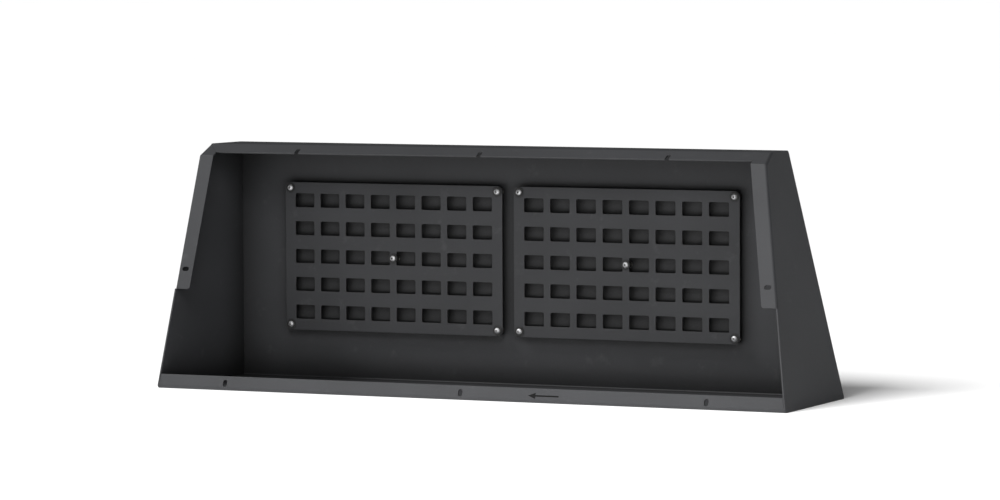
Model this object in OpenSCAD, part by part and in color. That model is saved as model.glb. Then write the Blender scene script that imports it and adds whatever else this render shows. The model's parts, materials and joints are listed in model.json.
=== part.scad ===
// Open-fronted storage box for a vehicle's side window opening.
// Folded sheet body and two end sheets, with two slotted grid panels that stand off the back wall.
// Millimetres. +Z is up, the open front faces -Y and +X is to the right of someone facing it.
// The origin is the centre of the base, on the surface that the box rests on.

/* [Body] */
// Length along the base
body_l = 1205; // [1000:5:1400]
// Depth along the base, front to back
body_d = 279; // [250:1:320]
// Height to the roof
body_h = 430; // [400:5:480]
// Sheet thickness
sheet_t = 2.5; // [2:0.5:3]
// Inside radius of every fold
fold_r = 2.5; // [2:0.5:3.5]
// Roof depth at the left end
roof_d_left = 102; // [95:1:110]
// Roof depth at the right end
roof_d_right = 77; // [75:1:95]
// How far forward the bevel in front of the roof runs
bevel_run = 38; // [34:1:42]
// How far down the bevel in front of the roof drops
bevel_drop = 19; // [16:1:22]
// Angle at which the left end opens out towards the front
left_flare = 5.7; // [2:0.1:8]
// How far the right end slopes in between base and roof
right_inset = 104.5; // [80:0.5:120]

/* [Flanges] */
// Height of the flange along the base, up its slope
base_flange_w = 26.5; // [22:0.5:30]
// Width of the flanges at the two ends
side_flange_w = 29; // [24:1:34]
// Where the end flanges stop, measured up the slope from the base
side_flange_low = 184; // [150:1:240]
// Width of the bevelled strip in front of the roof
strip_w = 30.5; // [26:0.5:32]
// Corner radius of the end flanges
flange_corner_r = 5; // [3:0.5:7]

/* [Fixing slots] */
// Width of a fixing slot
slot_w = 8; // [6:0.5:9]
// Length of a fixing slot
slot_l = 13; // [11:0.5:15]
// Distance from the left corner to the first slot in the base flange
base_slot_first = 135; // [100:5:170]
// Spacing of the three slots in the base flange
base_slot_pitch = 462; // [400:1:470]
// Height of the slot in each end flange, up the slope
side_slot_s = 221; // [205:1:300]
// Spacing of the three notches in the roof strip
notch_pitch = 357; // [300:1:400]
// Depth of a notch, from the strip's free edge
notch_depth = 16; // [12:1:18]
// Centre of the etched arrow along the base flange
arrow_x = 153; // [60:1:300]

/* [Grid panels] */
// Slot columns
grid_cols = 8; // [6:2:8]
// Slot rows
grid_rows = 5; // [3:2:5]
// Spacing of the slots, across and up
grid_pitch = 50.8; // [46:0.1:51]
// Width of a slot
grid_slot_w = 38.1; // [30:0.1:38.1]
// Height of a slot
grid_slot_h = 25.4; // [20:0.1:28]
// Plain margin round the slots
grid_margin = 20; // [18:1:22]
// Panel thickness
panel_t = 3; // [2:0.5:4]
// Corner radius of a panel
panel_corner_r = 10; // [6:1:12]
// Gap between the two panels
panel_gap = 23; // [20:1:40]
// Middle of the pair of panels
panel_mid_x = -31.5; // [-40:0.5:-20]
// Bottom edge of the panels above the base
panel_low_z = 89.5; // [60:0.5:95]

/* [Fasteners] */
// Distance from a panel's edges to its corner screws
screw_inset = 10; // [9:0.5:12]
// Clearance hole for a screw
screw_hole_d = 6.6; // [6.4:0.1:7]
// Screw shank diameter
screw_d = 5.9; // [5.8:0.1:5.9]
// Screw length under the head
screw_l = 25; // [22:1:26]
// Screw head diameter
head_d = 10.5; // [9.5:0.5:11.5]
// Screw head height
head_h = 3.3; // [2.8:0.1:3.6]
// Hex key size
socket_af = 4; // [3:0.5:5]
// Washer diameter
washer_d = 16.5; // [14:0.5:18]
// Washer thickness
washer_t = 1.5; // [1:0.1:2]
// Spacer diameter
spacer_d = 12; // [10:0.5:14]
// Spacer length
spacer_l = 10; // [6:0.5:14]
// Rivet nut flange diameter
nut_flange_d = 13; // [12:0.5:14]
// Rivet nut flange thickness
nut_flange_t = 1.5; // [1:0.1:2]
// Rivet nut sleeve diameter
nut_d = 9; // [9:0.1:9.5]
// How far a rivet nut stands out behind the back wall
nut_back = 9; // [8:0.5:11]

/* [Hidden] */
$fn = 48;

sheet_black = [0.13, 0.13, 0.14];
panel_black = [0.17, 0.17, 0.18];
nylon_black = [0.05, 0.05, 0.05];
steel = [0.80, 0.81, 0.83];
zinc = [0.70, 0.68, 0.60];

// Gap left open where two flanges meet in a mitre
seam = 0.4;
// Clear of the box on every side
margin = 30;
// Longer than the box
far = 3000;
// Outside radius of every fold
fold_out = fold_r + sheet_t;
// Width of flat sheet that is drawn with a fold
fold_leg = 3 * fold_out;
grid_slot_r = 2.5;
nut_bore_d = 6;
etch_depth = 0.4;
arrow_l = 58;
arrow_head_l = 14;
arrow_head_w = 11;
arrow_shaft_w = 3;

// Where sloping front and bevel meet at each end, and how far the front leans back
lip_z = body_h - bevel_drop;
left_lip = lip_of(roof_d_left);
right_lip = lip_of(roof_d_right);
left_lean = atan(left_lip.x / left_lip.y);
right_lean = atan(right_lip.x / right_lip.y);
base_lean = (left_lean + right_lean) / 2;
// How far the rounded front edge stands back from the sharp corner of its faces
nose = fold_out * (tan(45 + left_lean / 2) - 1);

// Base and back, with the rivet nuts counted in the depth
front_y = -round(body_d + nut_back + nose) / 2;
back_y = front_y + body_d;
wall_y = back_y - sheet_t;
left_x = -body_l / 2;
right_x = body_l / 2;
rake = atan(right_inset / body_h);

// Roof edge, which is not quite parallel to the back wall
left_roof_x = end_x(-1, body_d - roof_d_left, body_h);
left_roof_y = back_y - roof_d_left;
right_roof_x = end_x(1, body_d - roof_d_right, body_h);
right_roof_y = back_y - roof_d_right;
taper = atan((roof_d_left - roof_d_right) / (right_roof_x - left_roof_x));
strip_dir = [cos(taper), sin(taper), 0];
bevel_lean = atan(bevel_run / bevel_drop);
strip_mid = (right_roof_x - left_roof_x) / cos(taper) / 2;

panel_w = (grid_cols - 1) * grid_pitch + grid_slot_w + 2 * grid_margin;
panel_h = (grid_rows - 1) * grid_pitch + grid_slot_h + 2 * grid_margin;
panel_z = panel_low_z + panel_h / 2;
left_panel_x = panel_mid_x - (panel_w + panel_gap) / 2;
right_panel_x = panel_mid_x + (panel_w + panel_gap) / 2;
spacer_y = wall_y - nut_flange_t;
panel_back_y = spacer_y - spacer_l;
panel_front_y = panel_back_y - panel_t;
washer_front_y = panel_front_y - washer_t;
corner_dx = panel_w / 2 - screw_inset;
corner_dz = panel_h / 2 - screw_inset;
CORNERS = [for (i = [-1, 1], j = [-1, 1]) [i * corner_dx, j * corner_dz]];
CENTRE = [[0, 0]];
ALL_POINTS = concat(CORNERS, CENTRE);

// ---- Geometry helpers ----

// Top of an end's sloping front, as distance behind the front edge and height
function lip_of(roof_d) = [body_d - roof_d - bevel_run, lip_z];
// Where an end plane lies, y behind the front edge and z up. side is -1 at the left and 1 at the right.
function end_x(side, y, z) = side < 0 ? left_x + y * tan(left_flare) : right_x - z * tan(rake);
function unit(v) = v / norm(v);
function right_of(d) = [d.y, -d.x];
function turn(a, b) = acos(unit(a) * unit(b));
// Angle through which an end sheet turns in to reach the plane of directions along and up
function fold_angle(normal, along, up) = turn(normal, cross(along, up));

// Points of a clockwise arc round the corner b of the path a, b, c. fold is the radius at the path
// and r is the radius of the arc that is wanted.
function fold_arc(a, b, c, fold, r, steps = 8) =
    let (d1 = unit(b - a), d2 = unit(c - b), angle = turn(d1, d2))
    let (centre = b - d1 * fold * tan(angle / 2) + right_of(d1) * fold)
    let (first = atan2(-right_of(d1).y, -right_of(d1).x))
    [for (i = [0:steps]) let (t = first - angle * i / steps) centre + r * [cos(t), sin(t)]];

function path_arcs(path, r) =
    [for (i = [1:len(path) - 2]) each fold_arc(path[i - 1], path[i], path[i + 1], fold_out, r)];
function reversed(list) = [for (i = [len(list) - 1:-1:0]) list[i]];

// Section of a folded sheet. path is its outer face, and every fold turns right.
module folded_section(path) {
    last = len(path) - 1;
    start_in = sheet_t * right_of(unit(path[1] - path[0]));
    end_in = sheet_t * right_of(unit(path[last] - path[last - 1]));
    outer = concat([path[0]], path_arcs(path, fold_out), [path[last]]);
    inner = concat([path[0] + start_in], path_arcs(path, fold_r), [path[last] + end_in]);
    polygon(concat(outer, reversed(inner)));
}

// A polygon, listed clockwise, with each corner rounded to its own radius
module rounded_polygon(points, radii, steps = 6) {
    n = len(points);
    polygon([
        for (i = [0:n - 1])
            let (a = points[(i + n - 1) % n], b = points[i], c = points[(i + 1) % n])
            each radii[i] > 0 ? fold_arc(a, b, c, radii[i], radii[i], steps) : [b]
    ]);
}

module rounded_rect(w, h, r, steps = 6) {
    x = w / 2;
    z = h / 2;
    rounded_polygon([[-x, -z], [-x, z], [x, z], [x, -z]], [r, r, r, r], steps);
}

// Space behind a fold, with one face on x = 0 and the other turned in by angle. inside is how far
// below the outer face of the sheet it lies, which is nothing or the sheet's thickness.
module fold_space(angle, inside) {
    corner = [0, inside * tan(angle / 2)];
    reach = corner - far * [sin(angle), cos(angle)];
    rounded_polygon([[0, far], corner, reach, [reach.x, far]], [0, fold_out - inside, 0, 0], 8);
}

// Slot with round ends, lying along X
module obround(w, l) {
    square([l - w, w], center = true);
    for (side = [-1, 1])
        translate([side * (l - w) / 2, 0])
            circle(d = w);
}

// Stands a drawing of depth and height up across the box
module across_x() {
    rotate([90, 0, 90])
        children();
}

// Stands a drawing of width and height up, so that it is extruded towards +Y
module along_y() {
    mirror([0, 1, 0])
        rotate([90, 0, 0])
            children();
}

// On the sloping front: x along the box, s up the slope, local +Z outwards
module on_front(x, s, lean) {
    translate([x, front_y + s * sin(lean), s * cos(lean)])
        rotate([90 - lean, 0, 0])
            children();
}

// On the bevelled strip: x along the roof edge from the left, s down from it, local +Z outwards
module on_strip(x, s) {
    strip_frame()
        translate([x, -s * sin(bevel_lean), -s * cos(bevel_lean)])
            rotate([90 - bevel_lean, 0, 0])
                children();
}

// The roof's front edge, from its left corner, or a line below it
module strip_frame(below = 0) {
    translate([left_roof_x, left_roof_y, body_h - below])
        rotate([0, 0, taper])
            children();
}

// The plane of an end, with local +X outwards and the front lower corner at the origin
module end_frame(side) {
    if (side < 0)
        translate([left_x, front_y, 0])
            rotate([0, 0, -left_flare])
                mirror([1, 0, 0])
                    children();
    else
        translate([right_x, front_y, 0])
            rotate([0, -rake, 0])
                children();
}

// Extrudes a drawing right through a flange
module cut_through() {
    translate([0, 0, -2 * sheet_t])
        linear_extrude(3 * sheet_t)
            children();
}

// ---- Folded body ----

// Everything on the inner side of an end sheet
module inside_end(side) {
    end_frame(side)
        translate([-far - sheet_t, -far / 2, -far / 2])
            cube(far);
}

module between_ends() {
    intersection() {
        inside_end(-1);
        inside_end(1);
    }
}

// Plan of what belongs to the strip at one end, inside the mitre. The mitre runs from the roof's
// corner to the strip's free edge. side is -1 at the left end and 1 at the right.
module inside_mitre(roof_corner, lip_x, side, gap) {
    strip_run = strip_w * sin(bevel_lean);
    inner = [lip_x - side * side_flange_w, roof_corner.y - strip_run];
    outer = 2 * roof_corner - inner;
    shift = [-side * gap, 0];
    translate([0, 0, lip_z - side_flange_w])
        linear_extrude(bevel_drop + side_flange_w + margin)
            polygon([
                inner + shift,
                outer + shift,
                [outer.x, back_y] + shift,
                [0, back_y],
                [0, front_y],
                [inner.x, front_y] + shift
            ]);
}

module inside_mitres(gap) {
    inside_mitre([left_roof_x, left_roof_y], end_x(-1, left_lip.x, left_lip.y), -1, gap);
    inside_mitre([right_roof_x, right_roof_y], end_x(1, right_lip.x, right_lip.y), 1, gap);
}

// Where the roof follows its front edge and not the back wall
module roof_front() {
    strip_frame()
        translate([-2 * margin, fold_leg - body_d, -2 * margin])
            cube([2 * strip_mid + 4 * margin, body_d, 3 * margin]);
}

// Base flange, floor, back wall and the back of the roof
module lower_fold() {
    flange_top = base_flange_w * [sin(base_lean), cos(base_lean)];
    difference() {
        translate([left_x - margin, 0, 0])
            across_x()
                linear_extrude(body_l + 2 * margin)
                    folded_section([
                        [left_roof_y - margin, body_h],
                        [back_y, body_h],
                        [back_y, 0],
                        [front_y, 0],
                        [front_y, 0] + flange_top
                    ]);
        roof_front();
    }
}

// Space behind the fold along the roof's front edge
module strip_space(inside) {
    strip_frame(inside)
        translate([far, 0, 0])
            rotate([0, -90, 0])
                linear_extrude(2 * far)
                    fold_space(90 - bevel_lean, inside);
}

// Front of the roof, the fold along its edge and the bevelled strip
module roof_strip() {
    difference() {
        intersection() {
            strip_space(0);
            roof_front();
            inside_mitres(seam);
        }
        strip_space(sheet_t);
        on_strip(0, strip_w)
            translate([-margin, -far, -far / 2])
                cube([far, far, far]);
    }
}

// Plain arrow, pointing left, which shows how the box faces
module arrow() {
    tip = -arrow_l / 2;
    neck = tip + arrow_head_l;
    polygon([
        [tip, 0],
        [neck, arrow_head_w / 2],
        [neck, arrow_shaft_w / 2],
        [-tip, arrow_shaft_w / 2],
        [-tip, -arrow_shaft_w / 2],
        [neck, -arrow_shaft_w / 2],
        [neck, -arrow_head_w / 2]
    ]);
}

module body_cuts() {
    for (i = [0:2])
        on_front(left_x + base_slot_first + i * base_slot_pitch, base_flange_w / 2, base_lean)
            cut_through()
                rotate(90)
                    obround(slot_w, slot_l);
    for (i = [-1:1])
        on_strip(strip_mid + i * notch_pitch, strip_w)
            cut_through()
                rotate(90)
                    obround(slot_w, 2 * notch_depth);
    on_front(arrow_x, base_flange_w / 2, base_lean)
        translate([0, 0, -etch_depth])
            linear_extrude(1)
                arrow();
    for (x = [left_panel_x, right_panel_x])
        at_points(x, ALL_POINTS, wall_y - 1)
            cylinder(h = sheet_t + 2, d = nut_d + 0.1);
}

module folded_body() {
    color(sheet_black)
        difference() {
            union() {
                intersection() {
                    lower_fold();
                    between_ends();
                }
                intersection() {
                    roof_strip();
                    between_ends();
                }
            }
            body_cuts();
        }
}

// ---- End sheets ----

// Space behind the fold of an end sheet along the line from point a to point b of its outline
module edge_space(side, a, b, angle, inside) {
    stretch = side < 0 ? [1 / cos(left_flare), 1] : [1, 1 / cos(rake)];
    start = [a.x * stretch.x, a.y * stretch.y];
    run = [(b - a).x * stretch.x, (b - a).y * stretch.y];
    end_frame(side)
        translate([-inside, start.x, start.y])
            rotate([-atan2(run.x, run.y), 0, 0])
                translate([0, 0, -far])
                    linear_extrude(2 * far)
                        fold_space(angle, inside);
}

// Space inside an end sheet and its two flanges
module flanged_space(side, lip, inside) {
    normal = side < 0 ? [-cos(left_flare), sin(left_flare), 0] : [cos(rake), 0, sin(rake)];
    roof = lip + [bevel_run, bevel_drop];
    up_front = [end_x(side, lip.x, lip.y) - end_x(side, 0, 0), lip.x, lip.y];
    up_bevel = [end_x(side, roof.x, roof.y) - end_x(side, lip.x, lip.y), bevel_run, bevel_drop];
    intersection() {
        edge_space(side, [0, 0], lip, fold_angle(normal, [1, 0, 0], up_front), inside);
        edge_space(side, lip, roof, fold_angle(normal, strip_dir, up_bevel), inside);
    }
}

// Everything above the plane that halves the angle between front and bevel
module above_lip(lip, lean) {
    translate([0, front_y + lip.x, lip.y])
        rotate([-(lean + bevel_lean) / 2, 0, 0])
            translate([-far / 2, -far / 2, 0])
                cube(far);
}

// Everything above the lower edge of an end's flange
module above_flange_foot(lean) {
    on_front(0, side_flange_low, lean)
        translate([-far / 2, 0, -far / 2])
            cube(far);
}

// Side view of the box, from the front edge's line at front_low and front_high to the back
module side_view(front_low, front_high) {
    points = [front_low, front_high, [body_d, front_high.y], [body_d, 0]];
    top_r = front_high.y == body_h ? fold_out : 0;
    translate([-far / 2, front_y, 0])
        across_x()
            linear_extrude(far)
                rounded_polygon(points, [fold_out, 0, top_r, fold_out]);
}

// What is cut from the sheet's front and bevel planes to leave the flanges
module front_opening(side, lip, lean) {
    slope = end_x(side, sin(lean), cos(lean)) - end_x(side, 0, 0);
    high = norm(lip) + margin;
    inner = side * (body_l / 2 - side_flange_w);
    outer = side * (body_l / 2 + margin);
    low_in = [inner + side_flange_low * slope, side_flange_low];
    high_in = [inner + high * slope, high];
    high_out = [outer, high];
    low_out = [outer, side_flange_low];
    difference() {
        on_front(0, 0, lean)
            translate([-far / 2, 0, -fold_leg])
                cube(far);
        on_front(0, 0, lean)
            translate([0, 0, -2 * fold_leg])
                linear_extrude(2 * far)
                    rounded_polygon(
                        side > 0
                            ? [low_in, high_in, high_out, low_out]
                            : [low_out, high_out, high_in, low_in],
                        side > 0 ? [flange_corner_r, 0, 0, 0] : [0, 0, 0, flange_corner_r]
                    );
        above_lip(lip, lean);
    }
    intersection() {
        above_lip(lip, lean);
        inside_end(side);
        inside_mitres(0);
    }
}

module end_sheet(side, lip, lean) {
    slot_x = end_x(side, side_slot_s * sin(lean), side_slot_s * cos(lean));
    color(sheet_black)
        difference() {
            union() {
                difference() {
                    intersection() {
                        end_frame(side)
                            translate([-sheet_t, -far / 2, -far / 2])
                                cube([sheet_t, far, far]);
                        side_view([0, 0], lip);
                    }
                    above_flange_foot(lean);
                }
                difference() {
                    intersection() {
                        flanged_space(side, lip, 0);
                        side_view([-margin, 0], [-margin, body_h]);
                        above_flange_foot(lean);
                        translate([side > 0 ? 0 : -far, -far / 2, 0])
                            cube(far);
                    }
                    flanged_space(side, lip, sheet_t);
                    front_opening(side, lip, lean);
                }
            }
            on_front(slot_x - side * side_flange_w / 2, side_slot_s, lean)
                cut_through()
                    obround(slot_w, slot_l);
        }
}

// ---- Grid panels ----

module grid_panel(x) {
    color(panel_black)
        translate([x, panel_front_y, panel_z])
            along_y()
                linear_extrude(panel_t)
                    difference() {
                        rounded_rect(panel_w, panel_h, panel_corner_r, 8);
                        for (i = [0:grid_cols - 1], j = [0:grid_rows - 1])
                            translate(grid_pitch * [i - (grid_cols - 1) / 2, j - (grid_rows - 1) / 2])
                                rounded_rect(grid_slot_w, grid_slot_h, grid_slot_r, 3);
                        for (p = ALL_POINTS)
                            translate(p)
                                circle(d = screw_hole_d);
                    }
}

// ---- Fasteners ----

// Places a piece at each screw point of the panel whose middle is at x, with its axis along +Y
module at_points(x, points, y) {
    for (p = points)
        translate([x + p.x, y, panel_z + p.y])
            rotate([-90, 0, 0])
                children();
}

// Button head screw with a hexagon socket. The head's underside is at z = 0.
module button_screw() {
    dome_r = (pow(head_d / 2, 2) + head_h * head_h) / (2 * head_h);
    socket_depth = 0.6 * head_h;
    tip = 0.8;
    difference() {
        union() {
            intersection() {
                translate([0, 0, dome_r - head_h])
                    sphere(r = dome_r);
                translate([0, 0, -head_h])
                    cylinder(h = head_h, d = head_d);
            }
            cylinder(h = screw_l - tip, d = screw_d);
            translate([0, 0, screw_l - tip])
                cylinder(h = tip, d1 = screw_d, d2 = screw_d - 2 * tip);
        }
        translate([0, 0, -head_h - 1])
            cylinder(h = 1 + socket_depth, d = socket_af / cos(30), $fn = 6);
    }
}

module ring(outer_d, bore_d, length) {
    difference() {
        cylinder(h = length, d = outer_d);
        translate([0, 0, -1])
            cylinder(h = length + 2, d = bore_d);
    }
}

// Rivet nut, with its flange in front of the wall and its bulge behind. The wall's face is at z = 0.
module rivet_nut() {
    flange_r = nut_flange_d / 2;
    sleeve_r = nut_d / 2;
    bulge_r = sleeve_r + 1.3;
    bulge_l = 3;
    rotate_extrude()
        polygon([
            [nut_bore_d / 2, -nut_flange_t],
            [flange_r, -nut_flange_t],
            [flange_r, 0],
            [sleeve_r, 0],
            [sleeve_r, sheet_t],
            [bulge_r, sheet_t],
            [bulge_r, sheet_t + bulge_l - 1],
            [sleeve_r, sheet_t + bulge_l],
            [sleeve_r, sheet_t + nut_back],
            [nut_bore_d / 2, sheet_t + nut_back]
        ]);
}

module screws(x, points) {
    color(steel)
        at_points(x, points, washer_front_y)
            button_screw();
}

module washers(x, points) {
    color(nylon_black)
        at_points(x, points, washer_front_y)
            ring(washer_d, screw_hole_d, washer_t);
}

module spacers(x, points) {
    color(nylon_black)
        at_points(x, points, panel_back_y)
            ring(spacer_d, screw_hole_d, spacer_l);
}

module rivet_nuts(x, points) {
    color(zinc)
        at_points(x, points, wall_y)
            rivet_nut();
}

folded_body();
end_sheet(-1, left_lip, left_lean);  // left_end
end_sheet(1, right_lip, right_lean);  // right_end
grid_panel(left_panel_x);  // left_grid_panel
grid_panel(right_panel_x);  // right_grid_panel
screws(left_panel_x, CORNERS);  // left_corner_screws
screws(left_panel_x, CENTRE);  // left_centre_screw
washers(left_panel_x, CORNERS);  // left_corner_washers
washers(left_panel_x, CENTRE);  // left_centre_washer
spacers(left_panel_x, CORNERS);  // left_corner_spacers
spacers(left_panel_x, CENTRE);  // left_centre_spacer
rivet_nuts(left_panel_x, CORNERS);  // left_corner_rivet_nuts
rivet_nuts(left_panel_x, CENTRE);  // left_centre_rivet_nut
screws(right_panel_x, CORNERS);  // right_corner_screws
screws(right_panel_x, CENTRE);  // right_centre_screw
washers(right_panel_x, CORNERS);  // right_corner_washers
washers(right_panel_x, CENTRE);  // right_centre_washer
spacers(right_panel_x, CORNERS);  // right_corner_spacers
spacers(right_panel_x, CENTRE);  // right_centre_spacer
rivet_nuts(right_panel_x, CORNERS);  // right_corner_rivet_nuts
rivet_nuts(right_panel_x, CENTRE);  // right_centre_rivet_nut
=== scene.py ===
import json
import math

import bpy
from mathutils import Matrix, Vector

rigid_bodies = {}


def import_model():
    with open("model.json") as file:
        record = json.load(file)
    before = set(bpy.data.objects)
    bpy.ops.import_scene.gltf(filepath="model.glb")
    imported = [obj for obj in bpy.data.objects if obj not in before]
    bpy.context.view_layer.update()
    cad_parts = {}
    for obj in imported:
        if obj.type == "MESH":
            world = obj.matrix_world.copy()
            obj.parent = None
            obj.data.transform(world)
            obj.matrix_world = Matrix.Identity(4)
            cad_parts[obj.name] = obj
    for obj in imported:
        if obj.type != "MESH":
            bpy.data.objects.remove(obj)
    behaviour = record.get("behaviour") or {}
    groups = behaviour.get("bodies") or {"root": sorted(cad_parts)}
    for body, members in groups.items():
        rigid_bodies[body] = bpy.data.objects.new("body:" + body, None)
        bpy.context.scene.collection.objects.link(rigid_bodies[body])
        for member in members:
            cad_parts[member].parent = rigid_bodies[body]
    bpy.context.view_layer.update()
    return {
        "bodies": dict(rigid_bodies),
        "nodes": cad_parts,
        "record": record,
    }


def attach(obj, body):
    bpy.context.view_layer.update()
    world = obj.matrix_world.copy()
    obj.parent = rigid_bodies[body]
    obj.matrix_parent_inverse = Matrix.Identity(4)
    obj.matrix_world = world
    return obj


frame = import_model()
nodes = frame["nodes"]
root = list(frame["bodies"])[0]

MM = 0.001


# ---- Node helpers ----

def new_material(name):
    mat = bpy.data.materials.new(name)
    mat.use_nodes = True
    tree = mat.node_tree
    tree.nodes.clear()
    out = tree.nodes.new("ShaderNodeOutputMaterial")
    bsdf = tree.nodes.new("ShaderNodeBsdfPrincipled")
    tree.links.new(bsdf.outputs["BSDF"], out.inputs["Surface"])
    return mat, tree, bsdf


def coords(tree):
    return tree.nodes.new("ShaderNodeTexCoord").outputs["Object"]


def noise(tree, vec, size, detail=2.0, rough=0.5):
    """Noise whose features are about size metres across."""
    n = tree.nodes.new("ShaderNodeTexNoise")
    n.inputs["Scale"].default_value = 1.0 / size
    n.inputs["Detail"].default_value = detail
    n.inputs["Roughness"].default_value = rough
    tree.links.new(vec, n.inputs["Vector"])
    return n.outputs["Fac"]


def spread(tree, fac, lo, hi, out_lo, out_hi):
    m = tree.nodes.new("ShaderNodeMapRange")
    m.inputs["From Min"].default_value = lo
    m.inputs["From Max"].default_value = hi
    m.inputs["To Min"].default_value = out_lo
    m.inputs["To Max"].default_value = out_hi
    tree.links.new(fac, m.inputs["Value"])
    return m.outputs["Result"]


def math_node(tree, op, a, b):
    m = tree.nodes.new("ShaderNodeMath")
    m.operation = op
    for i, v in enumerate((a, b)):
        if isinstance(v, (int, float)):
            m.inputs[i].default_value = v
        else:
            tree.links.new(v, m.inputs[i])
    return m.outputs[0]


def mix(tree, fac, a, b):
    """Colour a where fac is 0 and b where it is 1."""
    m = tree.nodes.new("ShaderNodeMix")
    m.data_type = "RGBA"
    if isinstance(fac, (int, float)):
        m.inputs["Factor"].default_value = fac
    else:
        tree.links.new(fac, m.inputs["Factor"])
    for socket, v in ((m.inputs[6], a), (m.inputs[7], b)):
        if isinstance(v, tuple):
            socket.default_value = v
        else:
            tree.links.new(v, socket)
    return m.outputs[2]


def bump(tree, bsdf, height, distance, strength, under=None):
    b = tree.nodes.new("ShaderNodeBump")
    b.inputs["Distance"].default_value = distance
    b.inputs["Strength"].default_value = strength
    tree.links.new(height, b.inputs["Height"])
    if under is not None:
        tree.links.new(under, b.inputs["Normal"])
    if bsdf is not None:
        tree.links.new(b.outputs["Normal"], bsdf.inputs["Normal"])
    return b.outputs["Normal"]


def rounded_normal(tree, radius):
    """The surface normal as if every edge were rounded to radius."""
    bevel = tree.nodes.new("ShaderNodeBevel")
    bevel.samples = 6
    bevel.inputs["Radius"].default_value = radius
    return bevel.outputs["Normal"]


def edge_mask(tree, rounded, lo, hi):
    """1 on sharp edges and 0 on flats, from how far the rounded normal leans from the true one."""
    geo = tree.nodes.new("ShaderNodeNewGeometry")
    dot = tree.nodes.new("ShaderNodeVectorMath")
    dot.operation = "DOT_PRODUCT"
    tree.links.new(rounded, dot.inputs[0])
    tree.links.new(geo.outputs["Normal"], dot.inputs[1])
    lean = math_node(tree, "SUBTRACT", 1.0, dot.outputs["Value"])
    return spread(tree, lean, lo, hi, 0.0, 1.0)


def painted_corner_shade(tree, reach, deepest):
    """Painted shade: 1 in the open, down to deepest in tight corners, darkening the colour where ambient
    occlusion finds nearby surfaces.
    """
    ao = tree.nodes.new("ShaderNodeAmbientOcclusion")
    ao.samples = 8
    ao.inputs["Distance"].default_value = reach
    return spread(tree, ao.outputs["AO"], 0.42, 0.95, deepest, 1.0)


def scaled(tree, colour, fac):
    v = tree.nodes.new("ShaderNodeVectorMath")
    v.operation = "SCALE"
    tree.links.new(colour, v.inputs[0])
    tree.links.new(fac, v.inputs["Scale"])
    return v.outputs["Vector"]


def grey(v, tint=(1.0, 1.0, 1.0)):
    return (v * tint[0], v * tint[1], v * tint[2], 1.0)


# ---- Materials ----

# The blue cast of the powder
COOL = (0.965, 0.99, 1.07)


def powder_coat(name, base, grain=0.9 * MM, edge_wear_and_highlight=0.35):
    """Matte fine-textured powder coat: small rounded grains, faint cloudy tone, edges paler from wear
    and a painted highlight, dust, and painted shade in the corners.
    """
    mat, tree, bsdf = new_material(name)
    vec = coords(tree)
    clouds = noise(tree, vec, 0.16, detail=3.0)
    specks = noise(tree, vec, 1.6 * MM, detail=3.0, rough=0.65)
    dust = noise(tree, vec, 0.035, detail=5.0, rough=0.6)
    cloudy = spread(tree, clouds, 0.3, 0.7, 0.0, 1.0)
    shade = mix(tree, cloudy, grey(base * 0.90, COOL), grey(base * 1.10, COOL))
    shade = mix(tree, spread(tree, specks, 0.45, 0.75, 0.0, 0.35), shade, grey(base * 1.9, COOL))
    shade = mix(tree, spread(tree, dust, 0.62, 0.85, 0.0, 0.10), shade, grey(0.30))
    rounded = rounded_normal(tree, 1.2 * MM)
    edges = edge_mask(tree, rounded, 0.02, 0.22)
    # Edges paler in patches: partly wear, partly a painted highlight on every edge
    patches = spread(tree, noise(tree, vec, 9 * MM, 3.0), 0.35, 0.7, 0.15, edge_wear_and_highlight)
    wear_and_highlight = math_node(tree, "MULTIPLY", edges, patches)
    shade = mix(tree, wear_and_highlight, shade, grey(0.16))
    # Painted shade: the colour darkened in corners and recesses where ambient occlusion finds nearby
    # surfaces
    corners = painted_corner_shade(tree, 80 * MM, 0.10)
    tree.links.new(scaled(tree, shade, corners), bsdf.inputs["Base Color"])
    tree.links.new(spread(tree, specks, 0.3, 0.7, 0.50, 0.66), bsdf.inputs["Roughness"])
    bsdf.inputs["Specular IOR Level"].default_value = 0.42
    cells = tree.nodes.new("ShaderNodeTexVoronoi")
    cells.feature = "SMOOTH_F1"
    cells.inputs["Scale"].default_value = 1.0 / grain
    tree.links.new(vec, cells.inputs["Vector"])
    under = bump(tree, None, cells.outputs["Distance"], 0.12 * MM, 0.55, rounded)
    bump(tree, bsdf, noise(tree, vec, 6 * MM, 2.0), 0.15 * MM, 0.25, under)
    return mat


def moulded_nylon(name):
    mat, tree, bsdf = new_material(name)
    vec = coords(tree)
    fine = noise(tree, vec, 0.5 * MM, 3.0, 0.6)
    broad = noise(tree, vec, 8 * MM, 2.0)
    shade = mix(tree, spread(tree, broad, 0.3, 0.7, 0.0, 1.0), grey(0.010), grey(0.019))
    rounded = rounded_normal(tree, 0.4 * MM)
    edges = edge_mask(tree, rounded, 0.02, 0.25)
    # Painted highlight: the edges paler
    shade = mix(tree, math_node(tree, "MULTIPLY", edges, 0.5), shade, grey(0.05))
    tree.links.new(shade, bsdf.inputs["Base Color"])
    tree.links.new(spread(tree, fine, 0.3, 0.7, 0.45, 0.62), bsdf.inputs["Roughness"])
    bump(tree, bsdf, fine, 0.04 * MM, 0.4, rounded)
    return mat


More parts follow.
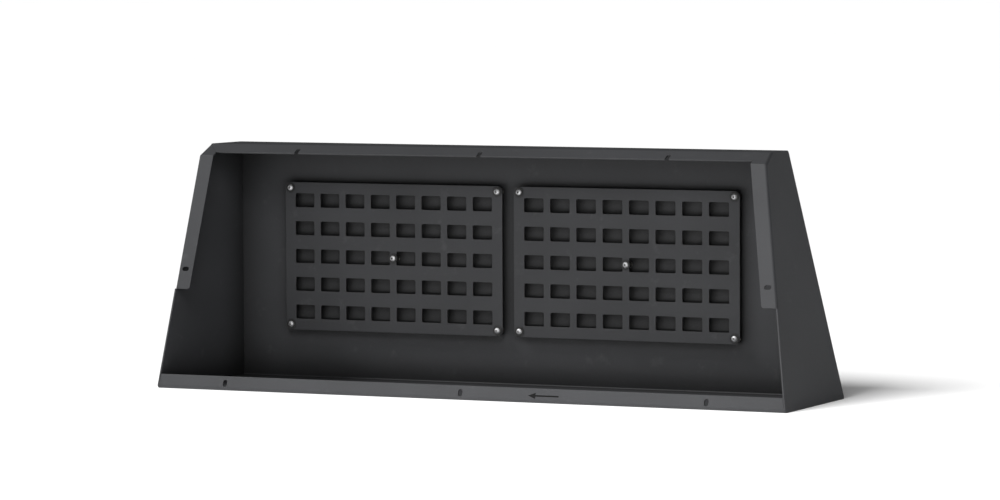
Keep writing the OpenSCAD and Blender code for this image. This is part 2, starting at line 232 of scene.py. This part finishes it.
def bright_steel(name, tint, metal, rough, scratch):
    mat, tree, bsdf = new_material(name)
    vec = coords(tree)
    stretch = tree.nodes.new("ShaderNodeMapping")
    stretch.inputs["Scale"].default_value = (1.0, 1.0, 14.0)
    tree.links.new(vec, stretch.inputs["Vector"])
    lines = noise(tree, stretch.outputs["Vector"], 0.9 * MM, 3.0, 0.6)
    broad = noise(tree, vec, 3 * MM, 2.0)
    dull = tuple(c * 0.82 for c in tint[:3]) + (1.0,)
    shade = mix(tree, spread(tree, broad, 0.35, 0.7, 0.0, 1.0), tint, dull)
    rounded = rounded_normal(tree, 0.35 * MM)
    edges = edge_mask(tree, rounded, 0.02, 0.3)
    # Painted highlight: the edges paler
    shade = mix(tree, math_node(tree, "MULTIPLY", edges, 0.5), shade, (0.95, 0.95, 0.94, 1.0))
    # Painted shade: the colour darkened in the hex socket and at the foot of the head
    tree.links.new(scaled(tree, shade, painted_corner_shade(tree, 4 * MM, 0.05)), bsdf.inputs["Base Color"])
    bsdf.inputs["Metallic"].default_value = metal
    tree.links.new(spread(tree, lines, 0.3, 0.7, rough - 0.06, rough + 0.10), bsdf.inputs["Roughness"])
    bump(tree, bsdf, lines, 0.02 * MM, scratch, rounded)
    return mat


body_mat = powder_coat("powder_coat_body", 0.040)
panel_mat = powder_coat("powder_coat_panel", 0.036, edge_wear_and_highlight=0.30)
nylon_mat = moulded_nylon("black_nylon")
stainless_mat = bright_steel("stainless", (0.92, 0.92, 0.93, 1.0), 0.75, 0.48, 0.35)
zinc_mat = bright_steel("zinc_plate", (0.66, 0.64, 0.58, 1.0), 1.0, 0.33, 0.45)

SLOT_MATERIALS = {
    "body_black": body_mat,
    "panel_black": panel_mat,
    "black_nylon": nylon_mat,
    "stainless": stainless_mat,
    "zinc_steel": zinc_mat,
}


def give(obj, mat):
    obj.data.materials.clear()
    obj.data.materials.append(mat)


slot_of = {s["node"]: s["material_slot"] for s in frame["record"]["subparts"]}
for name, obj in nodes.items():
    give(obj, SLOT_MATERIALS[slot_of[name]])


# ---- Etched arrow ----

# The CAD's dimensions of the base flange: the sharp corner of its front lower edge, half its width,
# and its lean, which is the mean of the leans of the box's front at the two ends
FRONT_Y = -145 * MM
FLANGE_MIDDLE = 13.25 * MM
LIP_HEIGHT = 411
LEFT_LIP_DEPTH = 139
RIGHT_LIP_DEPTH = 164
END_LEANS = [math.degrees(math.atan(depth / LIP_HEIGHT)) for depth in (LEFT_LIP_DEPTH, RIGHT_LIP_DEPTH)]
BASE_LEAN = math.radians((END_LEANS[0] + END_LEANS[1]) / 2)

# The arrow's outline, in millimetres from its middle, and where the CAD etches it
ARROW_X = 153 * MM
ETCH_DEPTH = 0.4 * MM
TIP, NECK, TAIL = -29, -15, 29
HEAD, SHAFT = 5.5, 1.5
ARROW_TOP = [(NECK, HEAD), (NECK, SHAFT), (TAIL, SHAFT)]
ARROW = [(TIP, 0)] + ARROW_TOP + [(x, -y) for x, y in reversed(ARROW_TOP)]


def on_flange(x, s, out):
    """A point on the base flange: x along it, s up its slope from the middle, out from its face."""
    s += FLANGE_MIDDLE
    return (
        ARROW_X + x,
        FRONT_Y + s * math.sin(BASE_LEAN) - out * math.cos(BASE_LEAN),
        s * math.cos(BASE_LEAN) + out * math.sin(BASE_LEAN),
    )


def arrow_floor():
    """The dark bottom of the etched arrow, a thin solid lying clear of the walls of its recess."""
    inset = 0.985
    levels = (-ETCH_DEPTH * 0.98, -ETCH_DEPTH * 0.45)
    verts = [on_flange(x * inset * MM, y * inset * MM, out) for out in levels for x, y in ARROW]
    n = len(ARROW)
    faces = [tuple(range(n)), tuple(range(2 * n - 1, n - 1, -1))]
    faces += [(i, i + n, (i + 1) % n + n, (i + 1) % n) for i in range(n)]
    mesh = bpy.data.meshes.new("arrow_mark")
    mesh.from_pydata(verts, [], faces)
    mark = bpy.data.objects.new("arrow_mark", mesh)
    bpy.context.collection.objects.link(mark)
    mat, tree, bsdf = new_material("etched_mark")
    vec = coords(tree)
    fine = noise(tree, vec, 0.4 * MM, 3.0, 0.6)
    shade = mix(tree, spread(tree, fine, 0.3, 0.7, 0.0, 1.0), grey(0.004), grey(0.012))
    tree.links.new(shade, bsdf.inputs["Base Color"])
    tree.links.new(spread(tree, fine, 0.3, 0.7, 0.75, 0.95), bsdf.inputs["Roughness"])
    bsdf.inputs["Specular IOR Level"].default_value = 0.2
    bump(tree, bsdf, fine, 0.05 * MM, 0.5)
    give(mark, mat)
    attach(mark, root)


arrow_floor()


# ---- Floor, light and camera ----

FLOOR_GLOW = 0.10
FLOOR_REACH = 90.0
BOX_MIDDLE = (0.0, 0.0, 0.2)

# The viewpoint, in metres, degrees and millimetres. Yaw turns it left and pitch turns it down.
CAMERA_PLACE = (3.6619, -7.8906, 0.8282)
CAMERA_YAW = 24.855
CAMERA_PITCH = 3.786
CAMERA_ROLL = -0.232
CAMERA_LENS = 178.44
CAMERA_SENSOR = 36.0


def floor_material():
    """White studio paper, with the even glow that a lightbox gives it."""
    mat, tree, bsdf = new_material("pale_floor")
    vec = coords(tree)
    cloudy = spread(tree, noise(tree, vec, 0.5, 2.0), 0.3, 0.7, 0.0, 1.0)
    shade = mix(tree, cloudy, grey(0.80), grey(0.82))
    tree.links.new(shade, bsdf.inputs["Base Color"])
    bsdf.inputs["Roughness"].default_value = 0.9
    bsdf.inputs["Specular IOR Level"].default_value = 0.1
    bsdf.inputs["Emission Color"].default_value = (1.0, 1.0, 1.0, 1.0)
    bsdf.inputs["Emission Strength"].default_value = FLOOR_GLOW
    return mat


def make_floor():
    """A floor that reaches past every view. It casts no shadow, so that the painted corner shade leaves
    it out.
    """
    mesh = bpy.data.meshes.new("floor")
    r = FLOOR_REACH
    corners = [(-r, -r, 0), (r, -r, 0), (r, r, 0), (-r, r, 0)]
    mesh.from_pydata(corners, [], [(0, 1, 2, 3)])
    floor = bpy.data.objects.new("floor", mesh)
    bpy.context.collection.objects.link(floor)
    give(floor, floor_material())
    floor.visible_shadow = False
    return floor


def make_world():
    world = bpy.data.worlds.new("studio")
    world.use_nodes = True
    bg = world.node_tree.nodes["Background"]
    bg.inputs["Color"].default_value = (1.0, 1.0, 1.0, 1.0)
    bg.inputs["Strength"].default_value = 0.04
    bpy.context.scene.world = world


def area_light(name, place, aim, size, power):
    data = bpy.data.lights.new(name, "AREA")
    data.shape = "RECTANGLE"
    data.size, data.size_y = size
    data.energy = power
    light = bpy.data.objects.new(name, data)
    bpy.context.collection.objects.link(light)
    light.location = place
    light.rotation_euler = (Vector(aim) - Vector(place)).to_track_quat("-Z", "Y").to_euler()
    return light


def sun_light(name, towards, softness, strength):
    """Even light from the direction towards, with softness as its apparent width in degrees."""
    data = bpy.data.lights.new(name, "SUN")
    data.angle = math.radians(softness)
    data.energy = strength
    light = bpy.data.objects.new(name, data)
    bpy.context.collection.objects.link(light)
    light.rotation_euler = (-Vector(towards)).to_track_quat("-Z", "Y").to_euler()
    return light


def light_link(light, obj, state):
    """Lets a light fall on obj alone (INCLUDE) or on all but obj (EXCLUDE). Shadows stay as they are."""
    group = bpy.data.collections.new(f"{light.name}_receivers")
    group.objects.link(obj)
    group.collection_objects[0].light_linking.link_state = state
    light.light_linking.receiver_collection = group


def make_camera():
    yaw, pitch, roll = (math.radians(a) for a in (CAMERA_YAW, CAMERA_PITCH, CAMERA_ROLL))
    ahead = Vector((-math.sin(yaw), math.cos(yaw), 0))
    right = Vector((math.cos(yaw), math.sin(yaw), 0))
    up = Vector((0, 0, 1))
    look = ahead * math.cos(pitch) - up * math.sin(pitch)
    head = up * math.cos(pitch) + ahead * math.sin(pitch)
    side = right * math.cos(roll) + head * math.sin(roll)
    crown = head * math.cos(roll) - right * math.sin(roll)
    data = bpy.data.cameras.new("camera")
    data.sensor_fit = "HORIZONTAL"
    data.sensor_width = CAMERA_SENSOR
    data.lens = CAMERA_LENS
    cam = bpy.data.objects.new("camera", data)
    bpy.context.collection.objects.link(cam)
    turn = Matrix((side, crown, -look)).transposed().to_4x4()
    cam.matrix_world = Matrix.Translation(CAMERA_PLACE) @ turn
    bpy.context.scene.camera = cam


floor = make_floor()
make_world()
area_light("key", (0.8, -3.6, 3.2), BOX_MIDDLE, (1.6, 1.6), 72)
floor_sun = sun_light("floor_sun", (-0.34, -0.60, 0.72), 30, 4.9)
light_link(floor_sun, floor, "INCLUDE")
side_sun = sun_light("side", (-0.583, -0.27, 0.765), 22, 2.4)
light_link(side_sun, floor, "EXCLUDE")
area_light("right", (3.4, -3.0, 1.6), BOX_MIDDLE, (2.0, 2.0), 22)
low = area_light("low", (0.0, -0.45, 0.03), (0.0, -0.14, 0.02), (1.3, 0.04), 0.9)
light_link(low, floor, "EXCLUDE")
make_camera()
bpy.context.scene.view_settings.view_transform = "Standard"
